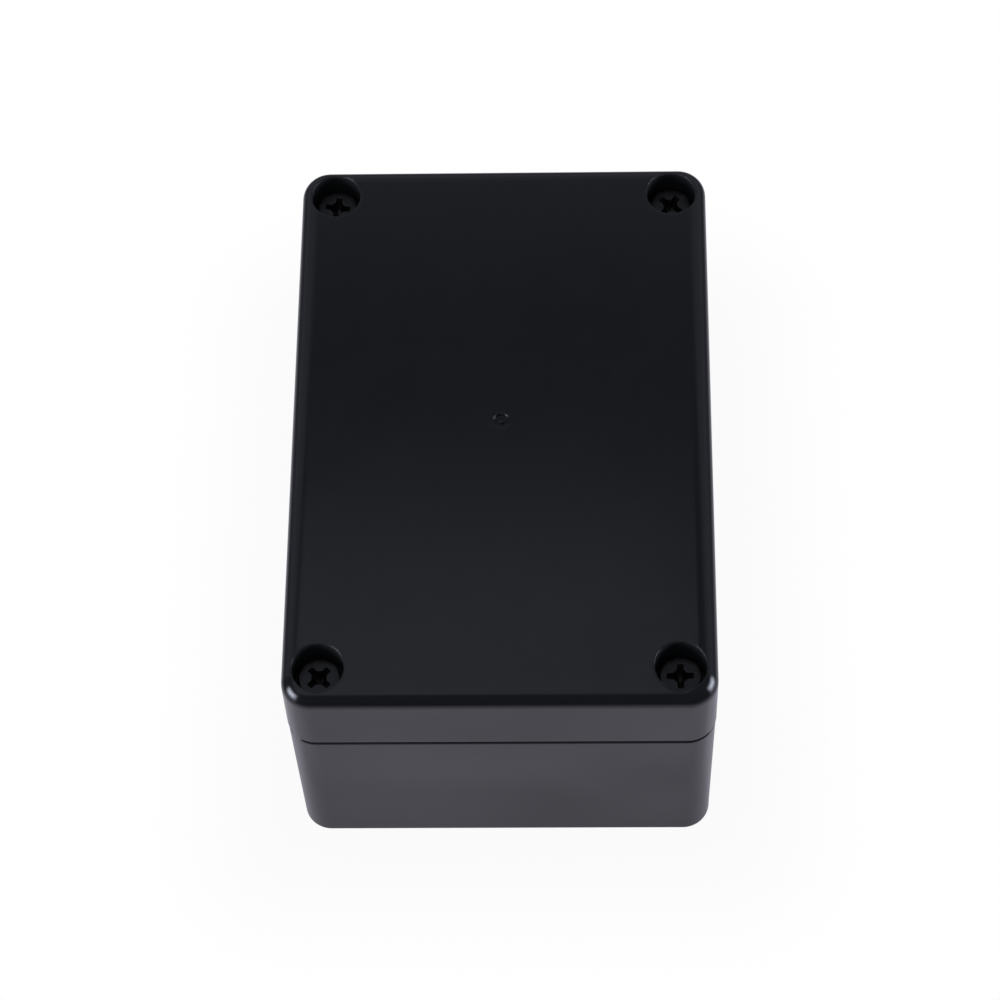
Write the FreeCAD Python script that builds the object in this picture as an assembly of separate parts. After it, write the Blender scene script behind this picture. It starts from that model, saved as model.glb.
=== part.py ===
"""Sealed plastic project box, 100 x 68 x 50 mm, closed by four corner screws.

A moulded tub with a tall lid. The lid skirt meets the tub flush at an open seam. Inside the seam a
tongue on the tub stands in a groove in the lid and presses on a gasket, and this seal line runs
round the inner side of four corner blocks, so that the lid screws and the wall-mounting holes are
outside the sealed space. The screws go down counterbores in the lid into brass bushes in the tub.

Millimetres. X runs across the box, Y along it from front (-Y) to back (+Y), and Z up. The origin is
the middle of the underside.
"""

import FreeCAD
import Part
import math
import os

Vector = FreeCAD.Vector

# Outer form
WIDTH = 68.0
LENGTH = 100.0
HEIGHT = 50.0
LID_HEIGHT = 15.65
CORNER_RADIUS = 4.7
TOP_EDGE_RADIUS = 3.0
BOTTOM_EDGE_RADIUS = 0.6
DRAFT_DEG = 0.25
BASE_STEP = 0.1  # the tub's walls stand this far in from the lid's skirt
SEAM_GAP = 0.6
SEAM_EDGE_RADIUS = 0.3

# Walls
WALL = 3.0
FLOOR = 2.5
TOP_PLATE = 2.4
BLOCK_WALL = 2.3
BLOCK_CORNER_RADIUS = 2.0

# Seal: skirt, groove and rib of the lid, from the outside in
SKIRT = 1.2
RIB = 1.3
TONGUE_CLEARANCE = 0.25  # to the groove's wall on each side
TONGUE_HEIGHT = 5.2
TONGUE_LEAD_IN = 0.3
GASKET_HEIGHT = 2.3
GASKET_CLEARANCE = 0.05
GASKET_EDGE_RADIUS = 0.35

# Lid screws, M4 x 20 with a cross recess
SCREW_INSET = 5.9  # from both outer faces to the screw's axis
COUNTERBORE_RADIUS = 4.1
COUNTERBORE_RIM_RADIUS = 0.12
HEAD_DEPTH = 3.6  # from the lid's top down to the top of the head
HEAD_RADIUS = 3.45
HEAD_HEIGHT = 2.6
HEAD_EDGE_RADIUS = 0.45
SHANK_RADIUS = 1.95  # the thread's crest
SHANK_LENGTH = 20.0
SHANK_TIP_CHAMFER = 0.6
CLEAR_HOLE_RADIUS = 2.25  # round the shank, in the lid and below the bush
RECESS_ARM_LENGTH = 2.15
RECESS_ARM_WIDTH = 1.0
RECESS_HUB_RADIUS = 1.25
RECESS_DEPTH = 1.9
RECESS_BOTTOM_SHARE = 0.4
SCREW_TURNS_DEG = {
    "front_left": 45.0,
    "front_right": 1.0,
    "back_left": -8.0,
    "back_right": 52.0,
}

# Brass bushes in the tub's corner blocks
BUSH_RADIUS = 2.8
BUSH_LENGTH = 8.0
BUSH_CLEARANCE = 0.02
BUSH_GROOVE_DEPTH = 0.4
BUSH_GROOVE_WIDTH = 1.6
BUSH_CHAMFER = 0.3
THREAD_CLEARANCE = 0.06
TIP_ROOM = 1.5  # below the screw's tip
PAD_RADIUS = 3.4  # the lid's foot round each screw, which sits on the bush and block
CORE_RADIUS = 2.5
CORE_FLOOR = 2.5  # left between the screw's hole and the core pocket under it

# Wall-mounting holes beside the screws, each at the bottom of a square channel
MOUNT_CHANNEL_HALF = 4.5  # half the channel's side
MOUNT_CHANNEL_CORNER_RADIUS = 0.8
MOUNT_CHANNEL_INSET = 2.6  # the tub's material between the channel and the lid's outer face
MOUNT_HOLE_RADIUS = 2.15
MOUNT_SEAT = 4.0
MOUNT_WEB = 1.6  # between the bush's hole and the channel

# Circuit-board standoffs on the tub's floor
STANDOFF_SPACING_X = 30.0
STANDOFF_SPACING_Y = 76.0
STANDOFF_RADIUS = 3.0
STANDOFF_HEIGHT = 4.5
STANDOFF_HOLE_RADIUS = 1.2
STANDOFF_HOLE_DEPTH = 5.5

# Moulding gate: a small dimple with the torn sprue's stub in its middle
GATE_RADIUS = 1.25
GATE_DEPTH = 0.35
GATE_STUB_RADIUS = 0.45
GATE_STUB_HEIGHT = 0.3

# Heights and places that follow from the sizes above
PARTING = HEIGHT - LID_HEIGHT
SKIRT_BOTTOM = PARTING + SEAM_GAP
GROOVE_WIDTH = WALL - SKIRT + TONGUE_CLEARANCE
GROOVE_ROOF = PARTING + TONGUE_HEIGHT + GASKET_HEIGHT
HEAD_TOP = HEIGHT - HEAD_DEPTH
HEAD_SEAT = HEAD_TOP - HEAD_HEIGHT
SCREW_TIP = HEAD_SEAT - SHANK_LENGTH
SCREW_X = WIDTH / 2 - SCREW_INSET
SCREW_Y = LENGTH / 2 - SCREW_INSET
MOUNT_X = WIDTH / 2 - MOUNT_CHANNEL_INSET - MOUNT_CHANNEL_HALF
MOUNT_Y = SCREW_Y - BUSH_RADIUS - MOUNT_WEB - MOUNT_CHANNEL_HALF
BLOCK_X = MOUNT_X - MOUNT_CHANNEL_HALF - BLOCK_WALL
BLOCK_Y = MOUNT_Y - MOUNT_CHANNEL_HALF - BLOCK_WALL
CORNERS = {
    "front_left": (-1, -1),
    "front_right": (1, -1),
    "back_left": (-1, 1),
    "back_right": (1, 1),
}


def drafted(height):
    """How far a moulded wall leans in over a height."""
    return height * math.tan(math.radians(DRAFT_DEG))


def rounded_wire(points, radii, z):
    """A closed outline at one height, with a tangent arc of the given radius at each point."""
    corners = []
    count = len(points)
    for i, (point, radius) in enumerate(zip(points, radii)):
        here = Vector(point[0], point[1], z)
        back = Vector(*points[i - 1], z) - here
        ahead = Vector(*points[(i + 1) % count], z) - here
        half_angle = back.getAngle(ahead) / 2
        back.normalize()
        ahead.normalize()
        middle = (back + ahead).normalize()
        run = radius / math.tan(half_angle)
        reach = radius / math.sin(half_angle) - radius
        corners.append((here + back * run, here + middle * reach, here + ahead * run))
    edges = []
    for i, (start, middle, end) in enumerate(corners):
        edges.append(Part.Arc(start, middle, end).toShape())
        edges.append(Part.LineSegment(end, corners[(i + 1) % count][0]).toShape())
    return Part.Wire(edges)


def outer_wire(inset, z):
    """The box's plan outline, this far in from the lid's widest outline."""
    x, y = WIDTH / 2 - inset, LENGTH / 2 - inset
    points = [(x, y), (-x, y), (-x, -y), (x, -y)]
    return rounded_wire(points, [CORNER_RADIUS - inset] * 4, z)


def seal_wire(inset, z):
    """The seal's outline round the corner blocks, this far in from the lid's outer face.

    Further in, the outer corners get sharper and the blocks' own corners get rounder.
    """
    grown = inset - WALL
    x, y = WIDTH / 2 - inset, LENGTH / 2 - inset
    block_x, block_y = BLOCK_X - grown, BLOCK_Y - grown
    outside = BLOCK_CORNER_RADIUS - grown
    inside = BLOCK_CORNER_RADIUS + grown
    quarter = [((x, block_y), outside), ((block_x, block_y), inside), ((block_x, y), outside)]
    corners = []
    for sx, sy in ((1, 1), (-1, 1), (-1, -1), (1, -1)):
        run = quarter if sx == sy else reversed(quarter)
        corners += [((sx * px, sy * py), radius) for (px, py), radius in run]
    return rounded_wire([c[0] for c in corners], [c[1] for c in corners], z)


def loft(*wires):
    """A closed solid with straight walls between outlines of the same kind."""
    return Part.makeLoft(list(wires), True, True)


def seal_ring(outer_inset, inner_inset, bottom, height):
    """A band of even width that follows the seal, standing upright."""
    wires = [seal_wire(outer_inset, bottom), seal_wire(inner_inset, bottom)]
    return Part.makeFace(wires, "Part::FaceMakerBullseye").extrude(Vector(0, 0, height))


def cylinder(radius, bottom, top, x=0.0, y=0.0):
    return Part.makeCylinder(radius, top - bottom, Vector(x, y, bottom))


def at_corners(x, y, make):
    """What make gives at the four mirrored places of one corner's x and y."""
    return [make(sx * x, sy * y) for sx, sy in CORNERS.values()]


def edges_at(shape, z, test=lambda edge: True):
    """The edges of a shape that lie flat at one height."""
    flat = []
    for edge in shape.Edges:
        box = edge.BoundBox
        if abs(box.ZMin - z) < 1e-4 and abs(box.ZMax - z) < 1e-4 and test(edge):
            flat.append(edge)
    return flat


def gate_cut(face_z, into):
    """The annular dimple round a gate's stub. into is the direction from the face into the wall."""
    deep = face_z + into * GATE_DEPTH
    low, high = min(face_z, deep), max(face_z, deep)
    stub_end = deep - into * GATE_STUB_HEIGHT
    stub = cylinder(GATE_STUB_RADIUS, min(deep, stub_end), max(deep, stub_end))
    return cylinder(GATE_RADIUS, low, high).cut(stub)


def base_shell():
    """The tub's outer block, leaning in towards its underside, with its two outer edges rounded."""
    block = loft(
        outer_wire(BASE_STEP + drafted(PARTING), 0.0),
        outer_wire(BASE_STEP, PARTING),
    )
    block = block.makeFillet(BOTTOM_EDGE_RADIUS, edges_at(block, 0.0))
    return block.makeFillet(SEAM_EDGE_RADIUS, edges_at(block, PARTING))


def mount_channel(x, y):
    """The square channel that leads down to one wall-mounting hole."""
    half = MOUNT_CHANNEL_HALF
    points = [(x + half, y + half), (x - half, y + half), (x - half, y - half), (x + half, y - half)]
    outline = rounded_wire(points, [MOUNT_CHANNEL_CORNER_RADIUS] * 4, MOUNT_SEAT)
    return Part.Face(outline).extrude(Vector(0, 0, PARTING - MOUNT_SEAT))


def base():
    """The tub: walls, floor, corner blocks and the tongue, with every hole in the blocks."""
    standoff_top = FLOOR + STANDOFF_HEIGHT
    cavity = Part.Face(seal_wire(WALL, FLOOR)).extrude(Vector(0, 0, PARTING - FLOOR))
    tongue = seal_ring(SKIRT + TONGUE_CLEARANCE, WALL, PARTING, TONGUE_HEIGHT)
    tongue = tongue.makeChamfer(TONGUE_LEAD_IN, edges_at(tongue, PARTING + TONGUE_HEIGHT))
    posts = at_corners(
        STANDOFF_SPACING_X / 2,
        STANDOFF_SPACING_Y / 2,
        lambda x, y: cylinder(STANDOFF_RADIUS, FLOOR / 2, standoff_top, x, y),
    )
    tub = base_shell().cut(cavity).fuse([tongue] + posts).removeSplitter()

    bush_hole = BUSH_RADIUS + BUSH_CLEARANCE
    bush_bottom = PARTING - BUSH_LENGTH
    tip_bottom = SCREW_TIP - TIP_ROOM
    cuts = at_corners(SCREW_X, SCREW_Y, lambda x, y: cylinder(bush_hole, bush_bottom, PARTING, x, y))
    cuts += at_corners(
        SCREW_X, SCREW_Y, lambda x, y: cylinder(CLEAR_HOLE_RADIUS, tip_bottom, bush_bottom, x, y)
    )
    cuts += at_corners(
        SCREW_X, SCREW_Y, lambda x, y: cylinder(CORE_RADIUS, 0.0, tip_bottom - CORE_FLOOR, x, y)
    )
    cuts += at_corners(MOUNT_X, MOUNT_Y, mount_channel)
    cuts += at_corners(
        MOUNT_X, MOUNT_Y, lambda x, y: cylinder(MOUNT_HOLE_RADIUS, 0.0, MOUNT_SEAT, x, y)
    )
    cuts += at_corners(
        STANDOFF_SPACING_X / 2,
        STANDOFF_SPACING_Y / 2,
        lambda x, y: cylinder(
            STANDOFF_HOLE_RADIUS, standoff_top - STANDOFF_HOLE_DEPTH, standoff_top, x, y
        ),
    )
    cuts.append(gate_cut(0.0, 1))
    return tub.cut(cuts)


def lid():
    """The lid: a drafted cap with a rounded top, the gasket groove, and a counterbore per screw."""
    cap = loft(
        outer_wire(0.0, SKIRT_BOTTOM),
        outer_wire(drafted(HEIGHT - SKIRT_BOTTOM), HEIGHT),
    )
    cap = cap.makeFillet(TOP_EDGE_RADIUS, edges_at(cap, HEIGHT))
    cap = cap.makeFillet(SEAM_EDGE_RADIUS, edges_at(cap, SKIRT_BOTTOM))

    rib_inset = SKIRT + GROOVE_WIDTH + RIB
    ceiling = HEIGHT - TOP_PLATE
    hollow = Part.Face(seal_wire(rib_inset, SKIRT_BOTTOM)).extrude(
        Vector(0, 0, ceiling - SKIRT_BOTTOM)
    )
    groove = seal_ring(SKIRT, SKIRT + GROOVE_WIDTH, SKIRT_BOTTOM, GROOVE_ROOF - SKIRT_BOTTOM)
    cap = cap.cut([hollow, groove])
    pads = at_corners(
        SCREW_X, SCREW_Y, lambda x, y: cylinder(PAD_RADIUS, PARTING, SKIRT_BOTTOM + SEAM_GAP, x, y)
    )
    cap = cap.fuse(pads).removeSplitter()

    cuts = at_corners(
        SCREW_X, SCREW_Y, lambda x, y: cylinder(COUNTERBORE_RADIUS, HEAD_SEAT, HEIGHT, x, y)
    )
    cuts += at_corners(
        SCREW_X, SCREW_Y, lambda x, y: cylinder(CLEAR_HOLE_RADIUS, PARTING, HEAD_SEAT, x, y)
    )
    cuts.append(gate_cut(HEIGHT, -1))
    cap = cap.cut(cuts)

    def is_rim(edge):
        curve = edge.Curve
        return isinstance(curve, Part.Circle) and abs(curve.Radius - COUNTERBORE_RADIUS) < 1e-4

    return cap.makeFillet(COUNTERBORE_RIM_RADIUS, edges_at(cap, HEIGHT, is_rim))


def gasket():
    """The rubber ring pressed into the roof of the lid's groove. The tub's tongue touches it."""
    bottom = PARTING + TONGUE_HEIGHT
    ring = seal_ring(
        SKIRT + GASKET_CLEARANCE,
        SKIRT + GROOVE_WIDTH - GASKET_CLEARANCE,
        bottom,
        GASKET_HEIGHT,
    )
    return ring.makeFillet(GASKET_EDGE_RADIUS, edges_at(ring, bottom))


def recess_wire(share, z):
    """The cross recess's outline at one depth: four arms, each drawn in to a share of its length."""
    arm, half = RECESS_ARM_LENGTH * share, RECESS_ARM_WIDTH / 2 * math.sqrt(share)
    points = []
    for quarter in range(4):
        turn = math.radians(90 * quarter)
        cos, sin = math.cos(turn), math.sin(turn)
        for x, y in ((arm, -half), (arm, half), (half, half)):
            points.append(Vector(x * cos - y * sin, x * sin + y * cos, z))
    return Part.makePolygon(points + points[:1])


def screw(x, y, turn_deg):
    """One lid screw: cheese head with a cross recess, and a plain shank of the thread's outer size."""
    outline = [
        Vector(0, 0, SCREW_TIP),
        Vector(SHANK_RADIUS - SHANK_TIP_CHAMFER, 0, SCREW_TIP),
        Vector(SHANK_RADIUS, 0, SCREW_TIP + SHANK_TIP_CHAMFER),
        Vector(SHANK_RADIUS, 0, HEAD_SEAT),
        Vector(HEAD_RADIUS, 0, HEAD_SEAT),
        Vector(HEAD_RADIUS, 0, HEAD_TOP),
        Vector(0, 0, HEAD_TOP),
        Vector(0, 0, SCREW_TIP),
    ]
    body = Part.Face(Part.makePolygon(outline)).revolve(Vector(0, 0, 0), Vector(0, 0, 1), 360)
    body = body.makeFillet(HEAD_EDGE_RADIUS, edges_at(body, HEAD_TOP))
    floor = HEAD_TOP - RECESS_DEPTH
    arms = loft(recess_wire(1.0, HEAD_TOP), recess_wire(RECESS_BOTTOM_SHARE, floor))
    hub_floor = RECESS_HUB_RADIUS * RECESS_BOTTOM_SHARE
    hub = Part.makeCone(hub_floor, RECESS_HUB_RADIUS, RECESS_DEPTH, Vector(0, 0, floor))
    body = body.cut([arms, hub])
    body.rotate(Vector(0, 0, 0), Vector(0, 0, 1), turn_deg)
    body.translate(Vector(x, y, 0))
    return body


def bush(x, y):
    """One brass bush: a sleeve with a locking groove round its middle and chamfered ends."""
    bottom, middle = PARTING - BUSH_LENGTH, PARTING - BUSH_LENGTH / 2
    bore = SHANK_RADIUS + THREAD_CLEARANCE
    waist = BUSH_RADIUS - BUSH_GROOVE_DEPTH
    outline = [
        Vector(bore, 0, bottom),
        Vector(BUSH_RADIUS - BUSH_CHAMFER, 0, bottom),
        Vector(BUSH_RADIUS, 0, bottom + BUSH_CHAMFER),
        Vector(BUSH_RADIUS, 0, middle - BUSH_GROOVE_WIDTH / 2),
        Vector(waist, 0, middle - BUSH_GROOVE_WIDTH / 2 + BUSH_GROOVE_DEPTH),
        Vector(waist, 0, middle + BUSH_GROOVE_WIDTH / 2 - BUSH_GROOVE_DEPTH),
        Vector(BUSH_RADIUS, 0, middle + BUSH_GROOVE_WIDTH / 2),
        Vector(BUSH_RADIUS, 0, PARTING),
        Vector(bore + BUSH_CHAMFER, 0, PARTING),
        Vector(bore, 0, PARTING - BUSH_CHAMFER),
        Vector(bore, 0, bottom),
    ]
    sleeve = Part.Face(Part.makePolygon(outline)).revolve(Vector(0, 0, 0), Vector(0, 0, 1), 360)
    sleeve.translate(Vector(x, y, 0))
    return sleeve


def build():
    """Every piece by its node's name."""
    pieces = {"base": base(), "lid": lid(), "gasket": gasket()}
    for corner, (sx, sy) in CORNERS.items():
        x, y = sx * SCREW_X, sy * SCREW_Y
        pieces["screw_" + corner] = screw(x, y, SCREW_TURNS_DEG[corner])
        pieces["bush_" + corner] = bush(x, y)
    return pieces


os.makedirs("parts", exist_ok=True)
for name, shape in build().items():
    shape.Solids[0].exportStep("parts/" + name + ".step")
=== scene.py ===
import math

import bpy
import numpy as np
from mathutils import Matrix, Vector


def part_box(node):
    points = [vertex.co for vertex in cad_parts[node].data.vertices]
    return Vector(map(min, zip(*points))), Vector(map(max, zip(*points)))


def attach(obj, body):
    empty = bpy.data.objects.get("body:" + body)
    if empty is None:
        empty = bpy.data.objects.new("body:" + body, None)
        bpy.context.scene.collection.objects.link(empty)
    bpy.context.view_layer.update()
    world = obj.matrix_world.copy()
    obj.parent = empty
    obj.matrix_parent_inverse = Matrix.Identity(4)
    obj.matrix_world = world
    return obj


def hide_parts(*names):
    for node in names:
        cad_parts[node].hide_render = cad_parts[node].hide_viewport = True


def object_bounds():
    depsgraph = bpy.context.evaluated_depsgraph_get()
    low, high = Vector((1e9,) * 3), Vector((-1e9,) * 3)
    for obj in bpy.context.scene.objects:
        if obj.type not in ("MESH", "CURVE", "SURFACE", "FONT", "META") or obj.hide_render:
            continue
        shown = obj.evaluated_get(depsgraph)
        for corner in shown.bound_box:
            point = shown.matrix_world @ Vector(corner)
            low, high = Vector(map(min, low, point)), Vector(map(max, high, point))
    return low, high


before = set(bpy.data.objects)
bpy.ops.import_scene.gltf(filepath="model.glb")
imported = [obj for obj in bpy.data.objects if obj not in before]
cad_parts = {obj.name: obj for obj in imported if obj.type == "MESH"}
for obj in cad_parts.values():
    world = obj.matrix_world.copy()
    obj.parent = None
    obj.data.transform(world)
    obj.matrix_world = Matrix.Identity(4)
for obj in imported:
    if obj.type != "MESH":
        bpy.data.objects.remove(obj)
cad_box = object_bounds()


# The view. The box stands on a white table and is seen from above its front short side, with a long
# lens and the picture turned a few degrees, so that the box leans slightly to the right.
VIEW_AZIMUTH = math.radians(3.313)
VIEW_ELEVATION = math.radians(60.793)
VIEW_ROLL = math.radians(-3.251)
VIEW_DISTANCE = 0.5367
VIEW_CENTRE = Vector((-0.00089, -0.00070, 0.025))
VIEW_LENS = 115.08
VIEW_SENSOR = 36.0
VIEW_NEAR = 0.01
VIEW_FAR = 20.0


def camera_turn(azimuth, elevation, roll):
    """Right, up and backward directions of a camera that looks at the box from that side.

    Backward points from the box to the camera. Right is level, and up is square to both. A roll
    turns right and up about the backward direction.
    """
    back = Vector((
        math.sin(azimuth) * math.cos(elevation),
        -math.cos(azimuth) * math.cos(elevation),
        math.sin(elevation),
    ))
    level = Vector((math.cos(azimuth), math.sin(azimuth), 0.0))
    upright = back.cross(level)
    right = level * math.cos(roll) + upright * math.sin(roll)
    up = upright * math.cos(roll) - level * math.sin(roll)
    return right, up, back


right, up, back = camera_turn(VIEW_AZIMUTH, VIEW_ELEVATION, VIEW_ROLL)
lens = bpy.data.cameras.new("view_lens")
lens.lens = VIEW_LENS
lens.sensor_width = VIEW_SENSOR
lens.clip_start = VIEW_NEAR
lens.clip_end = VIEW_FAR
camera = bpy.data.objects.new("view", lens)
bpy.context.scene.collection.objects.link(camera)
turn = Matrix((right, up, back)).transposed().to_4x4()
camera.matrix_world = Matrix.Translation(VIEW_CENTRE + back * VIEW_DISTANCE) @ turn
bpy.context.scene.camera = camera
bpy.context.scene.view_settings.view_transform = "Standard"


# The tub. One injection moulding in black ABS with a satin tool finish: the flow of the plastic
# leaves faint long waves in the walls, and handling leaves fine scuffs and cloudy patches.
TUB_COLOUR = (0.0078, 0.0081, 0.0092)
TUB_SCUFF_COLOUR = (0.018, 0.018, 0.021)
TUB_ROUGHNESS = 0.15
TUB_SCUFFS = 0.2  # how strongly the scuffs show
GRAIN_SCALE = 9000.0  # roughly how many grains lie in a metre, and so on below
WAVE_SCALE = 45.0
CLOUD_SCALE = 110.0
STREAK_SCALE = 260.0
STREAK_STRETCH = (1.0, 14.0, 1.0)
STREAK_TURN = (0.3, 0.2, 0.9)
STREAK_FADE = (0.66, 0.78)  # the noise at which a streak starts, and at which it is full
CLOUD_ROUGHNESS = 0.10  # how far the patches change the roughness
SCUFF_ROUGHNESS = 0.25  # how far a full streak raises it
GRAIN_SHARE = 0.10  # the grain's height as a share of the waves'
SKIN_RELIEF = 0.00006
SKIN_STRENGTH = 0.5
EDGE_SOFTNESS = 0.0005  # radius of the plastic's edges where the mould is sharp
EDGE_SAMPLES = 4


def feed(tree, socket, value):
    """Gives an input its value, from another socket or as a plain number or colour."""
    if isinstance(value, bpy.types.NodeSocket):
        tree.links.new(value, socket)
    else:
        socket.default_value = value


def noise(tree, vector, scale, detail=2.0, rough=0.5):
    """Noise over a vector. Its value lies about one half."""
    made = tree.nodes.new("ShaderNodeTexNoise")
    made.inputs["Scale"].default_value = scale
    made.inputs["Detail"].default_value = detail
    made.inputs["Roughness"].default_value = rough
    tree.links.new(vector, made.inputs["Vector"])
    return made.outputs["Fac"]


def stretched(tree, vector, scale, turn=(0.0, 0.0, 0.0)):
    """A vector scaled along its axes and turned, which stretches the pattern laid over it."""
    made = tree.nodes.new("ShaderNodeMapping")
    made.inputs["Scale"].default_value = scale
    made.inputs["Rotation"].default_value = turn
    tree.links.new(vector, made.inputs["Vector"])
    return made.outputs["Vector"]


def maths(tree, operation, *values):
    """One step of plain maths on sockets and numbers."""
    made = tree.nodes.new("ShaderNodeMath")
    made.operation = operation
    for socket, value in zip(made.inputs, values):
        feed(tree, socket, value)
    return made.outputs[0]


def ranged(tree, value, start, end, low=0.0, high=1.0, way="LINEAR"):
    """A value carried over from one range to another, and kept inside it."""
    made = tree.nodes.new("ShaderNodeMapRange")
    made.interpolation_type = way
    labels = ("Value", "From Min", "From Max", "To Min", "To Max")
    for label, given in zip(labels, (value, start, end, low, high)):
        feed(tree, made.inputs[label], given)
    return made.outputs["Result"]


def blended(tree, factor, first, second):
    """A colour between two others, by a factor."""
    made = tree.nodes.new("ShaderNodeMix")
    made.data_type = "RGBA"
    for label, given in (("Factor", factor), ("A", first), ("B", second)):
        feed(tree, made.inputs[label], given)
    return made.outputs["Result"]


def bumped(tree, shader, height, strength, relief):
    """Lays a height on a shader's surface, and gives the node that does it."""
    made = tree.nodes.new("ShaderNodeBump")
    made.inputs["Strength"].default_value = strength
    made.inputs["Distance"].default_value = relief
    tree.links.new(height, made.inputs["Height"])
    tree.links.new(made.outputs["Normal"], shader.inputs["Normal"])
    return made


def new_skin(name, second_colour, *others):
    """An empty shader node group for a skin, with its two end nodes.

    It takes a vector, a colour, a second colour, a roughness and any others, each a label with a
    value, and it gives a colour, a roughness and a height.
    """
    group = bpy.data.node_groups.new(name, "ShaderNodeTree")
    black = (0.0, 0.0, 0.0, 1.0)
    inputs = [
        ("Vector", "Vector", (0.0, 0.0, 0.0)),
        ("Colour", "Color", black),
        (second_colour, "Color", black),
        ("Roughness", "Float", 0.3),
    ]
    inputs += [(label, "Float", value) for label, value in others]
    for label, kind, value in inputs:
        socket = group.interface.new_socket(
            label, in_out="INPUT", socket_type="NodeSocket" + kind
        )
        socket.default_value = value
    outputs = (("Colour", "Color"), ("Roughness", "Float"), ("Height", "Float"))
    for label, kind in outputs:
        group.interface.new_socket(label, in_out="OUTPUT", socket_type="NodeSocket" + kind)
    start = group.nodes.new("NodeGroupInput")
    end = group.nodes.new("NodeGroupOutput")
    return group, start.outputs, end.inputs


def moulded_skin_group():
    """The skin of a moulding: colour, roughness and height that vary over the surface.

    Height adds a fine even grain and long shallow waves. Scuffs are thin streaks that noise breaks
    up: they lighten the colour and raise the roughness. Cloudy patches, as of handling, change the
    roughness a little.
    """
    group, start, end = new_skin("moulded_skin", "Scuff Colour", ("Scuffs", 0.5))
    place = start["Vector"]
    grain = noise(group, place, GRAIN_SCALE, 1.0)
    waves = noise(group, place, WAVE_SCALE, 1.0)
    clouds = noise(group, place, CLOUD_SCALE, 4.0, 0.6)
    drawn_out = stretched(group, place, STREAK_STRETCH, STREAK_TURN)
    streaks = noise(group, drawn_out, STREAK_SCALE, 3.0, 0.65)
    scuff = maths(group, "MULTIPLY", ranged(group, streaks, *STREAK_FADE), start["Scuffs"])
    cloudy = maths(group, "MULTIPLY", maths(group, "SUBTRACT", clouds, 0.5), CLOUD_ROUGHNESS)
    roughness = maths(group, "ADD", start["Roughness"], cloudy)
    roughness = maths(group, "MULTIPLY_ADD", scuff, SCUFF_ROUGHNESS, roughness)
    feed(group, end["Colour"], blended(group, scuff, start["Colour"], start["Scuff Colour"]))
    feed(group, end["Roughness"], roughness)
    feed(group, end["Height"], maths(group, "MULTIPLY_ADD", grain, GRAIN_SHARE, waves))
    return group


def new_material(name):
    """An empty node material: its tree, its Principled shader and its Object coordinates."""
    made = bpy.data.materials.new(name)
    made.use_nodes = True
    tree = made.node_tree
    place = tree.nodes.new("ShaderNodeTexCoord")
    return made, tree, tree.nodes["Principled BSDF"], place.outputs["Object"]


def skinned(tree, shader, skin, place, values, strength, relief):
    """Puts a skin group on a shader, and gives the node that lays its height on."""
    group = tree.nodes.new("ShaderNodeGroup")
    group.node_tree = skin
    feed(tree, group.inputs["Vector"], place)
    for label, value in values.items():
        group.inputs[label].default_value = value
    feed(tree, shader.inputs["Base Color"], group.outputs["Colour"])
    feed(tree, shader.inputs["Roughness"], group.outputs["Roughness"])
    return bumped(tree, shader, group.outputs["Height"], strength, relief)


def plastic(name, colour, scuff_colour, roughness, scuffs):
    """Satin moulded plastic: the moulded skin on a Principled shader, with softened edges."""
    made, tree, shader, place = new_material(name)
    values = {
        "Colour": (*colour, 1.0),
        "Scuff Colour": (*scuff_colour, 1.0),
        "Roughness": roughness,
        "Scuffs": scuffs,
    }
    relief = skinned(tree, shader, moulded_skin, place, values, SKIN_STRENGTH, SKIN_RELIEF)
    soft_edge = tree.nodes.new("ShaderNodeBevel")
    soft_edge.samples = EDGE_SAMPLES
    soft_edge.inputs["Radius"].default_value = EDGE_SOFTNESS
    feed(tree, relief.inputs["Normal"], soft_edge.outputs["Normal"])
    return made


def finish_node(node, made):
    """Gives a CAD node this one material."""
    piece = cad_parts[node]
    piece.data.materials.clear()
    piece.data.materials.append(made)


moulded_skin = moulded_skin_group()
finish_node("base", plastic("tub_plastic", TUB_COLOUR, TUB_SCUFF_COLOUR, TUB_ROUGHNESS, TUB_SCUFFS))


# The four bushes. Turned brass sleeves with a locking groove round the middle and an M4 thread
# inside, pressed into the tub's corner blocks from above, flush with their tops.
BRASS_COLOUR = (0.62, 0.42, 0.16)
BRASS_DARK = (0.34, 0.21, 0.08)
BRASS_ROUGHNESS = 0.28
BRASS_RING_DEPTH = 0.00001
BUSH_BORE = 0.0023
BUSH_THREAD_ROOT = 0.0024
BUSH_THREAD_CREST = 0.00203  # just wider than the screw's own thread
BUSH_CHAMFER = 0.0003
BUSH_GROOVE_DEPTH = 0.0004
BUSH_GROOVE_WIDTH = 0.0016
BUSH_SHARP = 30.0  # the angle in degrees above which an edge is drawn sharp
THREAD_PITCH = 0.0007
THREAD_FOOT = 0.43  # half the ridge's width at its foot, in pitches
THREAD_TIP = 0.065  # half the ridge's width at its crest, in pitches
THREAD_START = 0.03  # the share of its full size that the ridge starts and ends with
RING_SCALE = 5200.0  # how closely the tool's rings lie
RING_WANDER = 1.5  # how far they stray from round
STAIN_SCALE = 700.0
STAIN_FADE = (0.45, 0.75)  # the noise at which a stain starts, and at which it is full
STAIN_ROUGHNESS = 0.15
METAL_STRENGTH = 0.4
CORNERS = ("front_left", "front_right", "back_left", "back_right")


def upright(box):
    """The bottom, the top, the radius and the axis of a round piece that stands in a box."""
    low, high = box
    axis = np.array(((low[0] + high[0]) / 2, (low[1] + high[1]) / 2, 0.0))
    return low[2], high[2], (high[0] - low[0]) / 2, axis


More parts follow.
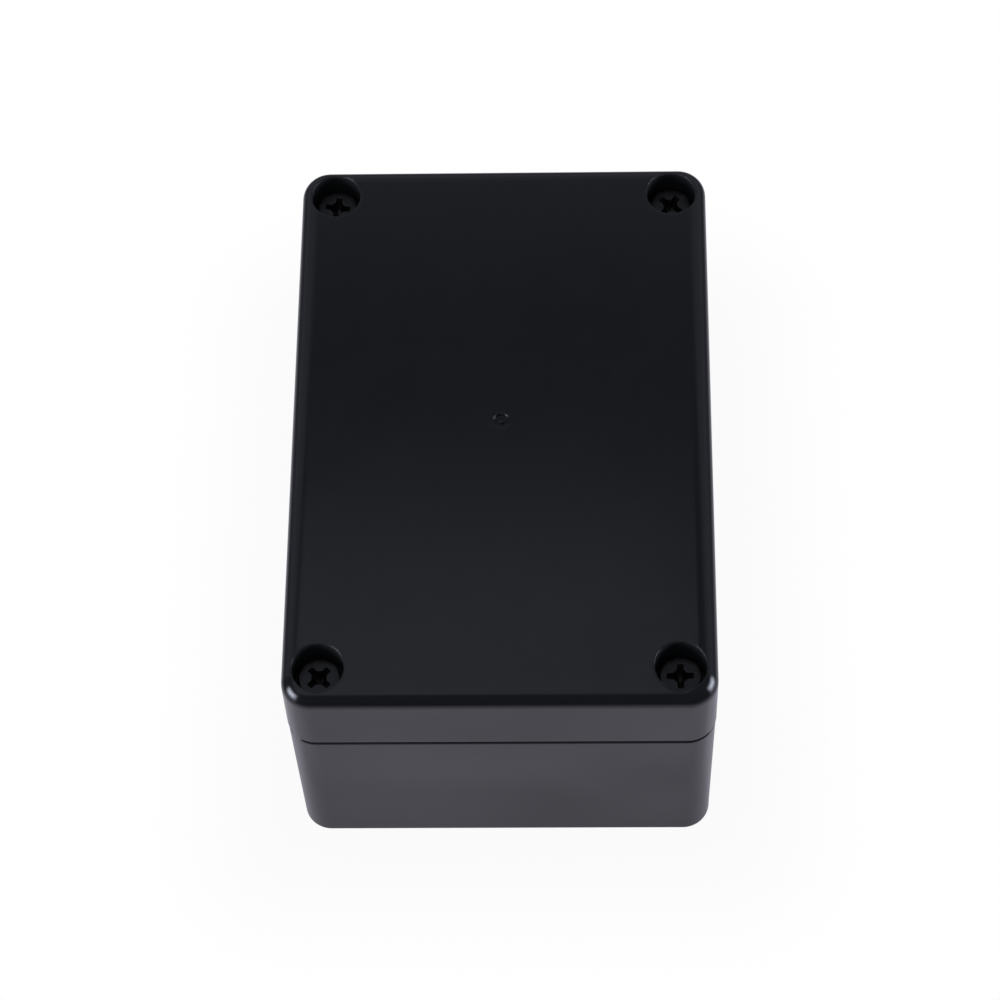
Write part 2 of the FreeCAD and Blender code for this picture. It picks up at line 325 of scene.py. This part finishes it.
def turned_grid(radius, height, angle, closed):
    """Points and faces of a surface turned about z, whose radius may change with the angle.

    Row i, column j lies at (radius * cos, radius * sin, height) of row i at angle j. Rows run
    upwards outside and inwards on top, so the faces point outwards. Closed joins the last row to
    the first, as for a sleeve. Otherwise a flat face closes each end.
    """
    rows, columns = radius.shape
    x = radius * np.cos(angle)
    y = radius * np.sin(angle)
    points = np.stack((x, y, np.broadcast_to(height[:, None], x.shape)), axis=-1).reshape(-1, 3)
    index = np.arange(rows * columns).reshape(rows, columns)
    beside = np.roll(index, -1, axis=1)
    above = np.roll(index, -1, axis=0)
    across = np.roll(beside, -1, axis=0)
    last = rows if closed else rows - 1
    faces = np.stack((index, beside, across, above), axis=-1)[:last].reshape(-1, 4).tolist()
    if not closed:
        faces += [index[0, ::-1].tolist(), index[-1].tolist()]
    return points, faces


def thread_ridge(root, crest, bottom, top, steps=32):
    """Points and faces of a right-handed thread's ridge between two heights.

    The ridge is a four-point section carried up a helix of the thread's pitch. Its height over the
    root and its width rise from almost nothing over the first half turn and fall over the last.
    A crest inside the root makes an inner thread, and its faces are turned over to suit.
    """
    count = int((top - bottom) / THREAD_PITCH * steps)
    turn = np.arange(count) * 2 * math.pi / steps
    rise = np.clip(np.minimum(turn, turn[-1] - turn) / math.pi, THREAD_START, 1.0)[:, None]
    reach = np.array((0.0, 1.0, 1.0, 0.0))
    half = np.array((THREAD_FOOT, THREAD_TIP, -THREAD_TIP, -THREAD_FOOT)) * THREAD_PITCH
    radius = root + (crest - root) * reach * rise
    height = (bottom + THREAD_PITCH * turn / (2 * math.pi))[:, None] + half * rise
    x = radius * np.cos(turn)[:, None]
    y = radius * np.sin(turn)[:, None]
    points = np.stack((x, y, height), axis=-1).reshape(-1, 3)
    index = np.arange(count * 4).reshape(count, 4)
    near, far = index[:-1], index[1:]
    side = (near, np.roll(near, -1, 1), np.roll(far, -1, 1), far)
    faces = np.stack(side, axis=-1).reshape(-1, 4)
    ends = np.array((index[0, ::-1], index[-1]))
    faces = np.concatenate((faces, ends))
    if crest < root:
        faces = faces[:, ::-1]
    return points, faces.tolist()


def solid(name, parts, place, made, sharp):
    """One object from closed surfaces, moved to its place on the box and sharp above an angle."""
    points, faces, start = [], [], 0
    for part_points, part_faces in parts:
        points.append(part_points + place)
        faces += [[start + i for i in face] for face in part_faces]
        start += len(part_points)
    mesh = bpy.data.meshes.new(name)
    mesh.from_pydata(np.concatenate(points).tolist(), [], faces)
    mesh.materials.append(made)
    mesh.shade_smooth()
    mesh.set_sharp_from_angle(angle=math.radians(sharp))
    piece = bpy.data.objects.new(name, mesh)
    bpy.context.scene.collection.objects.link(piece)
    return piece


def turned_metal_group():
    """The skin of turned metal: fine rings round z from the tool, and stains where noise is high.

    The rings are a wave over the distance from z, and they are the height. A stain mixes the
    darker colour in and raises the roughness.
    """
    group, start, end = new_skin("turned_metal", "Stain Colour")
    place = start["Vector"]
    rings = group.nodes.new("ShaderNodeTexWave")
    rings.wave_type = "RINGS"
    rings.rings_direction = "Z"
    rings.inputs["Scale"].default_value = RING_SCALE
    rings.inputs["Distortion"].default_value = RING_WANDER
    rings.inputs["Detail"].default_value = 1.0
    feed(group, rings.inputs["Vector"], place)
    stain = ranged(group, noise(group, place, STAIN_SCALE, 4.0), *STAIN_FADE)
    roughness = maths(group, "MULTIPLY_ADD", stain, STAIN_ROUGHNESS, start["Roughness"])
    feed(group, end["Colour"], blended(group, stain, start["Colour"], start["Stain Colour"]))
    feed(group, end["Roughness"], roughness)
    feed(group, end["Height"], rings.outputs["Fac"])
    return group


def turned_metal(name, colour, stain, roughness, metallic, axis, ring_depth):
    """A metal piece's material: the turned metal skin, centred on the piece's own axis."""
    made, tree, shader, place = new_material(name)
    centre = tree.nodes.new("ShaderNodeMapping")
    centre.inputs["Location"].default_value = tuple(-v for v in axis)
    feed(tree, centre.inputs["Vector"], place)
    values = {"Colour": (*colour, 1.0), "Stain Colour": (*stain, 1.0), "Roughness": roughness}
    centred = centre.outputs["Vector"]
    skinned(tree, shader, metal_skin, centred, values, METAL_STRENGTH, ring_depth)
    shader.inputs["Metallic"].default_value = metallic
    return made


def bush_sleeve(bottom, top, outer, columns=64):
    """A bush's outline turned once round: outside from below upwards, then down the bore."""
    middle = (bottom + top) / 2
    waist = outer - BUSH_GROOVE_DEPTH
    wide, narrow = BUSH_GROOVE_WIDTH / 2, BUSH_GROOVE_WIDTH / 2 - BUSH_GROOVE_DEPTH
    outline = np.array((
        (outer - BUSH_CHAMFER, bottom),
        (outer, bottom + BUSH_CHAMFER),
        (outer, middle - wide),
        (waist, middle - narrow),
        (waist, middle + narrow),
        (outer, middle + wide),
        (outer, top),
        (BUSH_BORE + BUSH_CHAMFER, top),
        (BUSH_BORE, top - BUSH_CHAMFER),
        (BUSH_BORE, bottom + BUSH_CHAMFER),
        (BUSH_BORE + BUSH_CHAMFER, bottom),
    ))
    angle = np.arange(columns) * 2 * math.pi / columns
    radius = np.repeat(outline[:, :1], columns, axis=1)
    return turned_grid(radius, outline[:, 1], angle, closed=True)


metal_skin = turned_metal_group()
for corner in CORNERS:
    bottom, top, outer, axis = upright(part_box("bush_" + corner))
    name = "brass_" + corner
    brass = turned_metal(
        name, BRASS_COLOUR, BRASS_DARK, BRASS_ROUGHNESS, 1.0, axis, BRASS_RING_DEPTH
    )
    sleeve = bush_sleeve(bottom, top, outer)
    thread = thread_ridge(
        BUSH_THREAD_ROOT, BUSH_THREAD_CREST, bottom + BUSH_CHAMFER, top - BUSH_CHAMFER
    )
    piece = solid("threaded_bush_" + corner, (sleeve, thread), axis, brass, BUSH_SHARP)
    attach(piece, "tub")
    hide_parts("bush_" + corner)


# The lid. The same black ABS from its own tool. The pins that mould the four counterbores are
# spark-eroded, which leaves the bores' walls matt. The walls are also painted a little paler:
# painted light that stands in for the light falling into the bores.
LID_COLOUR = (0.0078, 0.0081, 0.0092)
LID_SCUFF_COLOUR = (0.017, 0.017, 0.020)
LID_ROUGHNESS = 0.14
LID_SCUFFS = 0.15
# painted light: the counterbores' paler colour stands in for light falling into them
BORE_PAINTED_LIGHT_COLOUR = (0.024, 0.026, 0.026)
BORE_ROUGHNESS = 0.3  # what the bores' finish adds
BORE_FADE = (0.00412, 0.00418)  # the distances from a bore's axis at which its finish and painted light end


def vector_steps(tree, vector, steps):
    """A chain of vector maths on a socket. Each step is an operation with its second value."""
    for operation, value in steps:
        step = tree.nodes.new("ShaderNodeVectorMath")
        step.operation = operation
        tree.links.new(vector, step.inputs[0])
        if value is not None:
            step.inputs[1].default_value = value
        vector = step.outputs["Value" if operation == "LENGTH" else "Vector"]
    return vector


def matt_and_painted_light_bores(made, axis):
    """Makes the lid's plastic matt in its counterbores, and paints light there as a paler colour.

    The distance from the nearest screw's axis is the length of a point's absolute x and y, with
    those of the axis taken off. The matt finish and the painted light cover what is nearer than the
    bore's wall.
    """
    tree = made.node_tree
    shader = tree.nodes["Principled BSDF"]
    colour, roughness = shader.inputs["Base Color"], shader.inputs["Roughness"]
    steps = (
        ("ABSOLUTE", None),
        ("SUBTRACT", axis),
        ("MULTIPLY", (1.0, 1.0, 0.0)),
        ("LENGTH", None),
    )
    place = tree.nodes["Texture Coordinate"].outputs["Object"]
    inside = ranged(tree, vector_steps(tree, place, steps), *BORE_FADE, 1.0, 0.0)
    plain, smooth = colour.links[0].from_socket, roughness.links[0].from_socket
    # Painted light: the bores' walls get a paler colour, which stands in for light falling into
    # them.
    feed(tree, colour, blended(tree, inside, plain, (*BORE_PAINTED_LIGHT_COLOUR, 1.0)))
    feed(tree, roughness, maths(tree, "MULTIPLY_ADD", inside, BORE_ROUGHNESS, smooth))


lid_plastic = plastic("lid_plastic", LID_COLOUR, LID_SCUFF_COLOUR, LID_ROUGHNESS, LID_SCUFFS)
matt_and_painted_light_bores(lid_plastic, upright(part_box("screw_back_right"))[3])
finish_node("lid", lid_plastic)


# The gasket. A silicone rubber ring pressed into the roof of the lid's groove, matt and a little
# dusty, and soft enough for the tub's tongue to sink into.
RUBBER_COLOUR = (0.020, 0.020, 0.021)
RUBBER_DUST = (0.055, 0.055, 0.057)
RUBBER_ROUGHNESS = (0.60, 0.85)  # without dust and under it
DUST_SCALE = 320.0
DUST_FADE = (0.45, 0.80)
PORE_SCALE = 6000.0
PORE_DEPTH = 0.00004
PORE_STRENGTH = 0.5


def dusty_rubber():
    """Matt rubber with fine pores. Noise spreads the dust, which is paler and rougher."""
    made, tree, shader, place = new_material("gasket_rubber")
    dust = noise(tree, place, DUST_SCALE, 5.0)
    share = ranged(tree, dust, *DUST_FADE)
    colour = blended(tree, share, (*RUBBER_COLOUR, 1.0), (*RUBBER_DUST, 1.0))
    feed(tree, shader.inputs["Base Color"], colour)
    feed(tree, shader.inputs["Roughness"], ranged(tree, dust, 0.0, 1.0, *RUBBER_ROUGHNESS))
    bumped(tree, shader, noise(tree, place, PORE_SCALE), PORE_STRENGTH, PORE_DEPTH)
    return made


finish_node("gasket", dusty_rubber())


# The four lid screws. M4 x 20, cold-headed steel with a black coating: a low round head with a
# cross recess that the punch leaves slightly rounded at its mouth, and a rolled thread.
SCREW_COLOUR = (0.0075, 0.0068, 0.0062)
SCREW_WORN = (0.030, 0.028, 0.026)
SCREW_ROUGHNESS = 0.30
SCREW_RING_DEPTH = 0.000004
SCREW_CORE = 0.00157
SCREW_THREAD_ROOT = 0.00152
SCREW_CREST = 0.00193
SCREW_TIP = 0.00105
SCREW_TIP_LENGTH = 0.0006
SCREW_NECK = 0.0010  # the plain length under the head
SCREW_NECK_CONE = 0.0003
SCREW_NECK_FILLET = 0.0001
SCREW_THREAD_GAP = 0.0002  # how far below the neck the thread ends
SCREW_HEAD_HEIGHT = 0.0026
SCREW_HEAD_CHAMFER = 0.0002
SCREW_EDGE = 0.00045
SCREW_SHARP = 35.0  # in degrees, as for the bushes
RECESS_ARM = 0.00213
RECESS_HALF = 0.00050
RECESS_HUB = 0.00118
RECESS_DEPTH = 0.0019
RECESS_POINT = 0.0005  # how much deeper its middle is
RECESS_BREAK = 0.00004
ARM_TAPER = 0.62  # how much of arm, half width and hub is lost at the recess's floor
HALF_TAPER = 0.25
HUB_TAPER = 0.85
SCREW_TURNS = {"front_left": 45.0, "front_right": 1.0, "back_left": -8.0, "back_right": 52.0}


def cross_outline(angle, share):
    """The cross recess's radius over the angle, at a share of its depth.

    Folded into one arm, the arm's end is a straight line across and its side a straight line along,
    so the radius is the smaller of arm / cos and half width / sin. It is never less than the hub's,
    and both choices are softened, as sums of high powers. Arm, half width and hub taper with depth.
    """
    folded = (angle + math.pi / 4) % (math.pi / 2) - math.pi / 4
    end = RECESS_ARM * (1 - ARM_TAPER * share) / np.cos(folded)
    side = RECESS_HALF * (1 - HALF_TAPER * share) / np.maximum(np.abs(np.sin(folded)), 1e-3)
    hub = RECESS_HUB * (1 - HUB_TAPER * share)
    arm = (end**-14 + side**-14) ** (-1 / 14)
    return (arm**12 + hub**12) ** (1 / 12)


def screw_body(bottom, top, head, turn, columns=192, bends=8):
    """The screw without its thread: the cone of the tip, core, neck, head and recess, in rows.

    Up to the head's flat top each row is a circle. From there the rows change over to the cross
    outline, go over its broken edge and down the recess, and close on its pointed floor.
    """
    seat = top - SCREW_HEAD_HEIGHT
    circles = [
        (SCREW_TIP, bottom),
        (SCREW_CORE, bottom + SCREW_TIP_LENGTH),
        (SCREW_CORE, seat - SCREW_NECK - SCREW_NECK_CONE),
        (SCREW_CREST, seat - SCREW_NECK),
        (SCREW_CREST, seat - SCREW_NECK_FILLET),
        (SCREW_CREST + SCREW_NECK_FILLET, seat),
        (head - SCREW_HEAD_CHAMFER, seat),
        (head, seat + SCREW_HEAD_CHAMFER),
        (head, top - SCREW_EDGE),
    ]
    for step in range(1, bends + 1):
        bend = math.pi / 2 * step / bends
        reach = SCREW_EDGE * (1 - math.cos(bend))
        circles.append((head - reach, top - SCREW_EDGE + SCREW_EDGE * math.sin(bend)))
    angle = np.arange(columns) * 2 * math.pi / columns
    across = angle - turn
    mouth = cross_outline(across, 0.0)
    floor = cross_outline(across, 1.0)
    flat = head - SCREW_EDGE
    rows = [(np.full_like(angle, radius), height) for radius, height in circles]
    for share in (0.35, 0.7, 0.9, 1.0):
        rows.append((flat + (mouth + RECESS_BREAK - flat) * share, top))
    rows.append((mouth + 0.3 * RECESS_BREAK, top - 0.3 * RECESS_BREAK))
    for share in (0.02, 0.08, 0.2, 0.35, 0.5, 0.65, 0.8, 0.92, 1.0):
        rows.append((cross_outline(across, share), top - RECESS_DEPTH * share))
    for share in (0.7, 0.4, 0.1):
        rows.append((floor * share, top - RECESS_DEPTH - RECESS_POINT * (1 - share)))
    radius = np.array([row[0] for row in rows])
    height = np.array([row[1] for row in rows])
    return turned_grid(radius, height, angle, closed=False)


for corner in CORNERS:
    bottom, top, head, axis = upright(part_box("screw_" + corner))
    name = "black_steel_" + corner
    steel = turned_metal(
        name, SCREW_COLOUR, SCREW_WORN, SCREW_ROUGHNESS, 0.0, axis, SCREW_RING_DEPTH
    )
    body = screw_body(bottom, top, head, math.radians(SCREW_TURNS[corner]))
    thread = thread_ridge(
        SCREW_THREAD_ROOT,
        SCREW_CREST,
        bottom + SCREW_TIP_LENGTH,
        top - SCREW_HEAD_HEIGHT - SCREW_NECK - SCREW_THREAD_GAP,
    )
    piece = solid("threaded_screw_" + corner, (body, thread), axis, steel, SCREW_SHARP)
    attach(piece, "lid_screw_" + corner)
    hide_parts("screw_" + corner)


# The table and the light. The box stands on a glossy white card in a dim room, with a soft light
# standing low on each side, a wide panel overhead and a pale wall behind. The camera sees the card
# run out into plain white, with a soft shadow at the box. Reflections see painted light on the
# card:
# a glow that darkens further out, with a painted shadow at the box.
TABLE_COLOUR = (0.86, 0.85, 0.88, 1.0)
TABLE_ROUGHNESS = (0.85, 0.95)
TABLE_GRAIN_SCALE = 900.0
TABLE_TOP = -0.0001  # a hair below the box, whose own underside so shows from below
TABLE_HALF = 4.0
CARD_PAINTED_LIGHT_COLOUR = (0.57, 0.555, 0.64, 1.0)  # painted light: the glow that reflections see on the card
CARD_FULL = 0.035  # how far from the box's walls the card's painted light is full
CARD_END = 0.130
CARD_FAR = 0.12  # the share of its light that is left beyond that
CARD_DIP = 0.74  # the share of the painted light left in a painted shadow of the box, at its foot
CARD_DIP_END = 0.016
CARD_PATCH_SCALE = 110.0  # wide patches of it that are a little brighter or darker
CARD_PATCH_STRETCH = (0.25, 1.0, 1.0)
CARD_PATCHES = (0.92, 1.12)
CARD_COAT_ROUGHNESS = 0.15
CARD_COAT_IOR = 1.6
SHADOW_WHITE = 0.94  # the share of plain white in what the camera sees at the box's foot
SHADOW_END = 0.032  # how far from the walls it is all plain white
COOL = (0.80, 0.85, 1.0)
SIDE_SIZE = (0.54, 0.36)  # width and height, as for the other lights
SIDE_LAYERS = ((1.0, 1.0), (0.75, 0.97), (0.5, 0.94))  # shares of a side lamp's size and distance
SIDE_LEFT = (-0.725, -0.338)
SIDE_LEFT_BRIGHTNESS = 4.0
SIDE_RIGHT = (0.80, -0.04)
SIDE_RIGHT_BRIGHTNESS = 3.7
OVERHEAD = (-0.66, -0.255)
OVERHEAD_HEIGHT = 1.2
OVERHEAD_SIZE = (1.5, 1.75)
OVERHEAD_BRIGHTNESS = 0.38
CEILING_HEIGHT = 2.2
CEILING_SIZE = (5.0, 5.0)
CEILING_BRIGHTNESS = 0.03
WALL_DISTANCE = 1.2
WALL_MIDDLE = 0.90
WALL_SIZE = (6.0, 1.7)
WALL_BRIGHTNESS = 0.22
ROOM_BRIGHTNESS = 0.12


def white_card():
    """A matt white floor, with what camera and reflections see of it changing with the distance.

    The distance is that from the box's foot: the length of what is left of a point's absolute x and
    y when half the box's width and length are taken off, and nothing below zero is kept. What
    reflections see is painted light: a glow that fades with the distance, with a painted shadow at
    the box's foot. It is a little uneven and has a glossy coat. From below, the card is clear.
    """
    made, tree, shader, place = new_material("white_card")
    grain = noise(tree, place, TABLE_GRAIN_SCALE)
    feed(tree, shader.inputs["Roughness"], ranged(tree, grain, 0.0, 1.0, *TABLE_ROUGHNESS))
    shader.inputs["Base Color"].default_value = TABLE_COLOUR
    shader.inputs["Specular IOR Level"].default_value = 0.0
    patches = noise(tree, stretched(tree, place, CARD_PATCH_STRETCH), CARD_PATCH_SCALE, 1.0)
    uneven = ranged(tree, patches, 0.3, 0.7, *CARD_PATCHES)
    steps = (
        ("ABSOLUTE", None),
        ("SUBTRACT", (cad_box[1][0], cad_box[1][1], 0.0)),
        ("MAXIMUM", (0.0, 0.0, 0.0)),
        ("LENGTH", None),
    )
    distance = vector_steps(tree, place, steps)

    def fade(start, end, near, far):
        """A smooth change of a value over the distance from the box."""
        return ranged(tree, distance, start, end, near, far, "SMOOTHSTEP")

    def mixed(factor, first, second):
        """A surface between two others, by a factor."""
        made = tree.nodes.new("ShaderNodeMixShader")
        for socket, given in zip(made.inputs, (factor, first, second)):
            feed(tree, socket, given)
        return made.outputs["Shader"]

    level = fade(CARD_FULL, CARD_END, 1.0, CARD_FAR)
    level = maths(tree, "MULTIPLY", level, fade(0.0, CARD_DIP_END, CARD_DIP, 1.0))
    # Painted light: the card's glow for reflections stands in for the lamps' light on it. It fades
    # further out, and a painted shadow dims it at the box's foot.
    card = tree.nodes.new("ShaderNodeEmission")
    card.inputs["Color"].default_value = CARD_PAINTED_LIGHT_COLOUR
    feed(tree, card.inputs["Strength"], maths(tree, "MULTIPLY", level, uneven))
    coat = tree.nodes.new("ShaderNodeBsdfGlossy")
    coat.inputs["Roughness"].default_value = CARD_COAT_ROUGHNESS
    sheen = tree.nodes.new("ShaderNodeFresnel")
    sheen.inputs["IOR"].default_value = CARD_COAT_IOR
    coated = mixed(sheen.outputs["Fac"], card.outputs["Emission"], coat.outputs["BSDF"])
    white = tree.nodes.new("ShaderNodeEmission")
    clear = tree.nodes.new("ShaderNodeBsdfTransparent")
    side = tree.nodes.new("ShaderNodeNewGeometry")
    path = tree.nodes.new("ShaderNodeLightPath")
    lit = shader.outputs["BSDF"]
    glossy, through = path.outputs["Is Glossy Ray"], path.outputs["Is Transmission Ray"]
    mirrored = maths(tree, "MAXIMUM", glossy, through)
    seen = mixed(fade(0.0, SHADOW_END, SHADOW_WHITE, 1.0), lit, white.outputs["Emission"])
    surface = mixed(path.outputs["Is Camera Ray"], mixed(mirrored, lit, coated), seen)
    surface = mixed(side.outputs["Backfacing"], surface, clear.outputs["BSDF"])
    feed(tree, tree.nodes["Material Output"].inputs["Surface"], surface)
    return made


sheet = bpy.data.meshes.new("table")
corners = ((-1, -1), (1, -1), (1, 1), (-1, 1))
outline = [(x * TABLE_HALF, y * TABLE_HALF, TABLE_TOP) for x, y in corners]
sheet.from_pydata(outline, [], [(0, 1, 2, 3)])
table = bpy.data.objects.new("table", sheet)
bpy.context.scene.collection.objects.link(table)
sheet.materials.append(white_card())


def soft_light(name, centre, aim, size, brightness):
    """A rectangular soft light of an even brightness, at one place and facing another."""
    light = bpy.data.lights.new(name, "AREA")
    light.shape = "RECTANGLE"
    light.size, light.size_y = size
    light.energy = brightness * math.pi * size[0] * size[1]
    light.color = COOL
    lamp = bpy.data.objects.new(name, light)
    bpy.context.scene.collection.objects.link(lamp)
    lamp.location = centre
    lamp.rotation_mode = "QUATERNION"
    lamp.rotation_quaternion = (Vector(aim) - Vector(centre)).to_track_quat("-Z", "Y")


# Each side light is made of three lamps, each smaller and nearer than the one before, so that the
# highlight on the lid's corners has a soft edge.
for share, near in SIDE_LAYERS:
    size = (SIDE_SIZE[0] * share, SIDE_SIZE[1] * share)
    middle = size[1] / 2
    left_place = (SIDE_LEFT[0] * near, SIDE_LEFT[1] * near, middle)
    right_place = (SIDE_RIGHT[0] * near, SIDE_RIGHT[1] * near, middle)
    soft_light("side_left", left_place, (0.0, 0.0, middle), size, SIDE_LEFT_BRIGHTNESS)
    soft_light("side_right", right_place, (0.0, 0.0, middle), size, SIDE_RIGHT_BRIGHTNESS)
panel = (*OVERHEAD, OVERHEAD_HEIGHT)
soft_light("overhead", panel, (*OVERHEAD, 0.0), OVERHEAD_SIZE, OVERHEAD_BRIGHTNESS)
roof = (0.0, 0.0, CEILING_HEIGHT)
soft_light("ceiling", roof, (0.0, 0.0, 0.0), CEILING_SIZE, CEILING_BRIGHTNESS)
wall = (0.0, WALL_DISTANCE, WALL_MIDDLE)
soft_light("wall_behind", wall, (0.0, 0.0, WALL_MIDDLE), WALL_SIZE, WALL_BRIGHTNESS)

# The room is dim, and plain white where the camera sees past the table.
world = bpy.data.worlds.new("room")
bpy.context.scene.world = world
world.use_nodes = True
tree = world.node_tree
room = tree.nodes["Background"]
room.inputs["Color"].default_value = (*COOL, 1.0)
room.inputs["Strength"].default_value = ROOM_BRIGHTNESS
paper = tree.nodes.new("ShaderNodeBackground")
paper.inputs["Color"].default_value = (1.0, 1.0, 1.0, 1.0)
view_path = tree.nodes.new("ShaderNodeLightPath")
backdrop = tree.nodes.new("ShaderNodeMixShader")
sources = (view_path.outputs["Is Camera Ray"], room.outputs[0], paper.outputs[0])
for socket, source in zip(backdrop.inputs, sources):
    feed(tree, socket, source)
feed(tree, tree.nodes["World Output"].inputs["Surface"], backdrop.outputs["Shader"])
